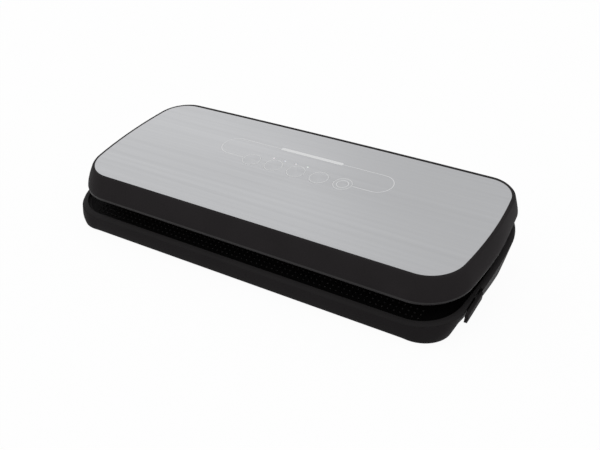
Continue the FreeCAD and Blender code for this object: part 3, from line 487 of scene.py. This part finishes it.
def applied(piece, kind, **settings):
    """Adds a modifier with its settings and applies it."""
    only(piece)
    modifier = piece.modifiers.new(kind.lower(), kind)
    for key, value in settings.items():
        setattr(modifier, key, value)
    bpy.ops.object.modifier_apply(modifier=modifier.name)


def settled(piece, place):
    """Carries a piece from a slanted frame to its place, which goes into its mesh."""
    only(piece)
    piece.matrix_world = place @ piece.matrix_world
    bpy.ops.object.transform_apply(location=True, rotation=True, scale=True)


def softened(piece, angle):
    """Shades smooth, apart from edges sharper than the angle."""
    only(piece)
    bpy.ops.object.shade_smooth_by_angle(angle=math.radians(angle))
    applied(piece, "WEIGHTED_NORMAL", keep_sharp=True)


def dressed(piece, finish, body):
    piece.data.materials.clear()
    piece.data.materials.append(finish)
    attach(piece, body)


def pick_faces(piece, chosen):
    """Selects the faces whose centre passes a test, in edit mode."""
    bpy.ops.mesh.select_mode(type="FACE")
    bpy.ops.mesh.select_all(action="DESELECT")
    done()
    for face in piece.data.polygons:
        face.select = chosen(face.center)
    bpy.ops.object.mode_set(mode="EDIT")


def started(name):
    """Names the primitive that was just added."""
    piece = bpy.context.object
    piece.name = name
    piece.data.name = name
    return piece


def sheet_blank(name, low, high, height):
    """Flat rectangle between two corners at a height."""
    middle = (low + high) / 2
    deselect()
    bpy.ops.mesh.primitive_plane_add(size=1.0, location=(middle.x, middle.y, height))
    piece = started(name)
    piece.scale = (high.x - low.x, high.y - low.y, 1.0)
    bpy.ops.object.transform_apply(location=True, rotation=True, scale=True)
    return piece


def rounded(piece, radius, segments):
    """Rounds the corners of a flat blank."""
    edit(piece)
    bpy.ops.mesh.bevel(offset=radius, segments=segments, affect="VERTICES", profile=0.5)
    done()


def hollowed(piece, width):
    """Leaves only a border of that width."""
    edit(piece)
    bpy.ops.mesh.select_mode(type="FACE")
    bpy.ops.mesh.inset(thickness=width, depth=0.0)
    bpy.ops.mesh.delete(type="FACE")
    done()


# Small changes to the outline of the shells: how far a point moves

def part_way(value, start, end):
    """Share of the way from start to end, from 0 to 1."""
    return min(1.0, max(0.0, (value - start) / (end - start)))


def eased_step(value, start, end):
    """0 at start, 1 at end and smooth between them."""
    share = part_way(value, start, end)
    return share * share * (3.0 - 2.0 * share)


def lid_taper(point):
    """The lid's back corners draw in below the plate, and the rim behind the plate is wider."""
    across = abs(point.x)
    draw = LID_CORNER_DRAW * eased_step(across, *LID_CORNER_X)
    draw *= eased_step(point.y, *LID_CORNER_Y) * eased_step(point.z, *LID_CORNER_Z)
    wider = BACK_RIM_PUSH * eased_step(across, *BACK_RIM_X)
    wider *= eased_step(point.y, *BACK_RIM_Y) * eased_step(point.z, *BACK_RIM_Z)
    return Vector((-math.copysign(draw, point.x), 0.0, 0.0)) + LEVEL_BACK * wider


def base_corner(point):
    """The base's front corners stand out near the bottom, most on the diagonal and not past its front."""
    side = abs(point.x) - BASE_CORNER_MID[0]
    front = BASE_CORNER_MID[1] - point.y
    height = part_way(point.z, *BASE_CORNER_Z)
    if side <= 0.0 or front <= 0.0 or height == 1.0:
        return STILL
    reach = math.hypot(side, front)
    push = BASE_CORNER_PUSH * (1.0 - height * height) * 2 * side * front / reach ** 2
    push *= eased_step(reach, *BASE_CORNER_REACH)
    forward = min(push * front / reach, point.y - CAD_BOX[0][1])
    return Vector((math.copysign(push * side / reach, point.x), -forward, 0.0))


def tab_back(point):
    """The tab grows thicker towards its front end, as far as its travel leaves room."""
    if not TAB_INNER[0] < point.x < TAB_INNER[1]:
        return STILL
    share = (point.y - TAB_ENDS[0]) / (TAB_ENDS[1] - TAB_ENDS[0])
    return Vector((TAB_BACK_THIN - (TAB_BACK_THIN + TAB_FRONT_THICK) * share, 0.0, 0.0))


# Shells: merged copies of the solids with soft shading

def skin(node, name, finish, body, angle=SHARP_SMALL, place=LEVEL, shift=None):
    """Copy that stands for a CAD node; shift moves its points, in the frame of place."""
    deselect()
    piece = bpy.data.objects.new(name, NODES[node].data.copy())
    SCENE.collection.objects.link(piece)
    only(piece)
    bpy.ops.mesh.customdata_custom_splitnormals_clear()
    edit(piece)
    bpy.ops.mesh.remove_doubles(threshold=MERGE)
    done()
    if shift:
        back = place.inverted()
        for vertex in piece.data.vertices:
            point = back @ vertex.co
            vertex.co = place @ (point + shift(point))
    softened(piece, angle)
    dressed(piece, finish, body)
    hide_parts(node)
    return piece


def refaced(piece, finish, place, chosen):
    """Second finish on the faces whose centre, in a slanted frame, passes a test."""
    piece.data.materials.append(finish)
    back = place.inverted()
    for face in piece.data.polygons:
        if chosen(back @ face.center):
            face.material_index = 1


def lid_shells():
    lid = skin("lid_shell", "lid_moulding", LID_PLASTIC, "lid",
               SHARP_LID, LID, lid_taper)
    # the lower lip takes the plastic painted lighter as a highlight
    refaced(lid, LIP_PAINTED_HIGHLIGHT, LID, lambda centre: centre.z < LIP_HEIGHT)
    skin("lid_inner", "lid_lining", COVER_PLASTIC, "lid",
         SHARP_SMALL, LID, lid_taper)
    skin("top_plate", "steel_top", PLATE_STEEL, "lid", SHARP_PLATE)
    skin("seal_strip", "pressing_strip", SILICONE, "lid")
    skin("light_bar", "light_strip", LAMP_WHITE, "lid")
    skin("indicator_lenses", "lamp_dots", LENS_GREY, "lid")
    for number in range(1, KEY_COUNT + 1):
        skin("control_key_%d" % number, "key_cap_%d" % number, PLATE_STEEL,
             "key_%d" % number)


def base_shells():
    skin("base_housing", "base_moulding", BASE_PAINTED_SHADE_PLASTIC, "base",
         SHARP_MOULDING, LEVEL, base_corner)
    deck = skin("base_deck", "deck_moulding", DECK_PAINTED_SHADE_PLASTIC, "base", SHARP_MOULDING)
    recess = deck_floor() + RECESS_MARGIN
    # the recessed floor of the deck takes the plastic painted near black as shade
    refaced(deck, APRON_PAINTED_SHADE, DECK, lambda centre: centre.z < recess)
    skin("trough_tub", "vacuum_tray", DECK_PAINTED_SHADE_PLASTIC, "base")
    skin("release_tab", "release_button", BASE_PAINTED_SHADE_PLASTIC, "release",
         SHARP_MOULDING, LEVEL, tab_back)
    skin("rubber_feet", "feet", FOOT_RUBBER, "base", SHARP_MOULDING)


def inlet_socket():
    """Inlet with its two pins in metal."""
    inlet = skin("mains_inlet", "inlet_socket", INLET_PLASTIC, "base")
    low, high = slanted_box("mains_inlet", LEVEL)
    middle = (low + high) / 2

    def on_pin(centre):
        return math.hypot(abs(centre.x - middle.x) - PIN_OFFSET, centre.z - middle.z) < PIN_R

    refaced(inlet, ZINC_STEEL, LEVEL, on_pin)


def return_spring():
    """Spring of the latch, on a mesh of its own."""
    spring = skin("latch_spring", "return_spring", ZINC_STEEL, "base")
    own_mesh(spring)


# Foam gaskets: crowned rings in their grooves

def foam_gasket(node, name, body, place):
    low, high = slanted_box(node, place)
    ring = sheet_blank(name, low, high, low.z)
    rounded(ring, FOAM_CORNER, segments=16)
    hollowed(ring, FOAM_WIDTH)
    applied(ring, "SOLIDIFY", thickness=high.z - low.z, offset=1.0)
    applied(ring, "BEVEL", width=FOAM_ROUND, segments=5,
            limit_method="ANGLE", angle_limit=math.radians(FOAM_EDGE))
    settled(ring, place)
    softened(ring, SHARP_SOFT)
    dressed(ring, FOAM, body)
    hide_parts(node)


# Apron in front of the sealing bar: rows of small raised dots

def repeated(piece, count, step):
    applied(piece, "ARRAY", count=count, use_relative_offset=False, use_constant_offset=True,
            constant_offset_displace=step)


def apron_dots():
    bar_front = slanted_box("heater_bar", DECK)[0].y
    deselect()
    bpy.ops.mesh.primitive_uv_sphere_add(segments=8, ring_count=6, radius=DOT_R,
                                         location=(0.0, 0.0, 0.0))
    dots = started("apron_dots")
    edit(dots)
    bpy.ops.mesh.bisect(plane_co=(0, 0, -DOT_SUNK * DOT_R), plane_no=(0, 0, 1),
                        clear_inner=True, use_fill=True)
    bpy.ops.transform.resize(value=(1.0, 1.0, DOT_FLAT))
    done()
    count = int(2 * APRON_HALF / DOT_PITCH)
    repeated(dots, count, (DOT_PITCH, 0.0, 0.0))
    repeated(dots, DOT_ROWS, (0.0, -DOT_ROW_PITCH, 0.0))
    dots.location = (-(count - 1) * DOT_PITCH / 2, bar_front - APRON_MARGIN, deck_floor())
    settled(dots, DECK)
    softened(dots, SHARP_SOFT)
    dressed(dots, DECK_PAINTED_SHADE_PLASTIC, "base")


# Control panel: printed outline on the plate, film over the light bar and a pale ring on each key

def printed(piece, finish, body):
    """Gives flat print its thickness and its place on the lid."""
    applied(piece, "SOLIDIFY", thickness=PRINT_RISE, offset=1.0)
    settled(piece, LID)
    dressed(piece, finish, body)


def panel_outline():
    """Pill-shaped line that breaks off at the light bar and at the row of keys."""
    bar_low, bar_high = slanted_box("light_bar", LID)
    top = (bar_low.y + bar_high.y) / 2
    low = Vector((-PILL_HALF, top - 2 * PILL_R, 0.0))
    high = Vector((PILL_HALF, top, 0.0))
    line = sheet_blank("panel_outline", low, high, plate_top())
    rounded(line, PILL_R * PILL_END, segments=24)
    hollowed(line, PRINT_LINE)
    keys_left = key_middle(1).x - KEY_RING_R - KEY_GAP
    keys_right = key_middle(KEY_COUNT).x + KEY_RING_R + KEY_GAP
    bar_left = bar_low.x - BAR_GAP
    bar_right = bar_high.x + BAR_GAP
    for cut in (keys_left, keys_right, bar_left, bar_right):
        edit(line)
        bpy.ops.mesh.bisect(plane_co=(cut, 0, 0), plane_no=(1, 0, 0))
        done()

    def in_a_break(centre):
        if centre.y < top - PILL_R:
            return keys_left < centre.x < keys_right
        return bar_left < centre.x < bar_right

    edit(line)
    pick_faces(line, in_a_break)
    bpy.ops.mesh.delete(type="FACE")
    done()
    printed(line, PANEL_PRINT, "lid")


def light_cover():
    """Milky film over the window of the light bar, a little larger than the window."""
    low, high = slanted_box("light_bar", LID)
    margin = Vector((FILM_LENGTHWISE, FILM_ACROSS, 0.0))
    low = low - margin
    high = high + margin
    film = sheet_blank("light_cover", low, high, plate_top())
    rounded(film, FILM_END * (high.y - low.y) / 2, segments=8)
    printed(film, LIGHT_FILM, "lid")


def key_ring(number, radius, name):
    deselect()
    bpy.ops.mesh.primitive_circle_add(vertices=72, radius=radius, fill_type="NGON",
                                      location=key_middle(number))
    ring = started(name)
    bpy.ops.object.transform_apply(location=True, rotation=True, scale=True)
    hollowed(ring, PRINT_LINE)
    printed(ring, PANEL_PRINT, "key_%d" % number)


def control_panel():
    panel_outline()
    light_cover()
    for number in range(1, KEY_COUNT + 1):
        key_ring(number, KEY_RING_R, "key_ring_%d" % number)
    key_ring(KEY_COUNT, INNER_RING_R, "key_ring_%d_inner" % KEY_COUNT)


# Stage

def seen_directly(tree):
    """1 for rays that see the white backdrop: camera, glossy and transmitted ones."""
    path = tree.nodes.new("ShaderNodeLightPath")
    total = path.outputs["Is Camera Ray"]
    for name in ("Is Glossy Ray", "Is Transmission Ray"):
        total = combined(tree, "MAXIMUM", total, path.outputs[name])
    return total


def studio_world():
    world = bpy.data.worlds.new("studio")
    world.use_nodes = True
    SCENE.world = world
    tree = world.node_tree
    strength = combined(tree, "MULTIPLY_ADD", seen_directly(tree), 1.0 - AMBIENT, AMBIENT)
    backdrop = tree.nodes["Background"]
    backdrop.inputs["Color"].default_value = (1.0, 1.0, 1.0, 1.0)
    tree.links.new(strength, backdrop.inputs["Strength"])


def pale_floor():
    """Paint that shows white to the camera and keeps the object's shadow."""
    made, tree, principled = material("pale_floor")
    tree.nodes.remove(principled)
    paint = add(tree, "ShaderNodeBsdfDiffuse", Color=(FLOOR_PAINT, FLOOR_PAINT, FLOOR_PAINT, 1.0))
    glow = add(tree, "ShaderNodeEmission", Strength=FLOOR_WHITE)
    mix = tree.nodes.new("ShaderNodeMixShader")
    share = combined(tree, "MULTIPLY", seen_directly(tree), FLOOR_GLOW)
    tree.links.new(share, mix.inputs["Fac"])
    tree.links.new(paint.outputs["BSDF"], mix.inputs[1])
    tree.links.new(glow.outputs["Emission"], mix.inputs[2])
    tree.links.new(mix.outputs["Shader"], tree.nodes["Material Output"].inputs["Surface"])
    return made


def studio_floor():
    deselect()
    bpy.ops.mesh.primitive_plane_add(size=FLOOR_SIZE, location=(0.0, 0.0, 0.0))
    floor = started("floor")
    floor.data.materials.append(pale_floor())


def aimed(place, aim):
    """Turn of a lamp or a camera at a place that looks at an aim."""
    return (Vector(aim) - Vector(place)).to_track_quat("-Z", "Y").to_matrix().to_4x4()


def softbox(name, place, aim, size, watts):
    lamp = bpy.data.lights.new(name, "AREA")
    lamp.shape = "RECTANGLE"
    lamp.size, lamp.size_y = size
    lamp.energy = watts
    holder = bpy.data.objects.new(name, lamp)
    SCENE.collection.objects.link(holder)
    holder.location = place
    holder.rotation_euler = aimed(place, aim).to_euler()


def studio_lights():
    softbox("left_softbox", place=(-1.3, 0.9, 1.1), aim=(-0.1, 0.0, 0.05), size=(1.2, 1.0), watts=0.9)
    softbox("right_softbox", place=(1.3, -0.1, 0.9), aim=(0.1, 0.0, 0.03), size=(0.7, 0.7), watts=0.1)


def photo_camera():
    lens = bpy.data.cameras.new("camera")
    lens.lens = CAMERA_LENS
    lens.sensor_width = CAMERA_SENSOR
    lens.sensor_fit = "HORIZONTAL"
    camera = bpy.data.objects.new("camera", lens)
    SCENE.collection.objects.link(camera)
    camera.location = CAMERA_PLACE
    rolled = aimed(CAMERA_PLACE, CAMERA_AIM) @ Matrix.Rotation(CAMERA_ROLL, 4, "Z")
    camera.rotation_euler = rolled.to_euler()
    SCENE.camera = camera


SCENE.view_settings.view_transform = "Standard"
photo_camera()
studio_world()
studio_floor()
studio_lights()
plain_solids()
lid_shells()
base_shells()
inlet_socket()
return_spring()
foam_gasket("lower_gasket", "lower_foam", "base", DECK)
foam_gasket("upper_gasket", "upper_foam", "lid", LID)
apron_dots()
control_panel()
deselect()
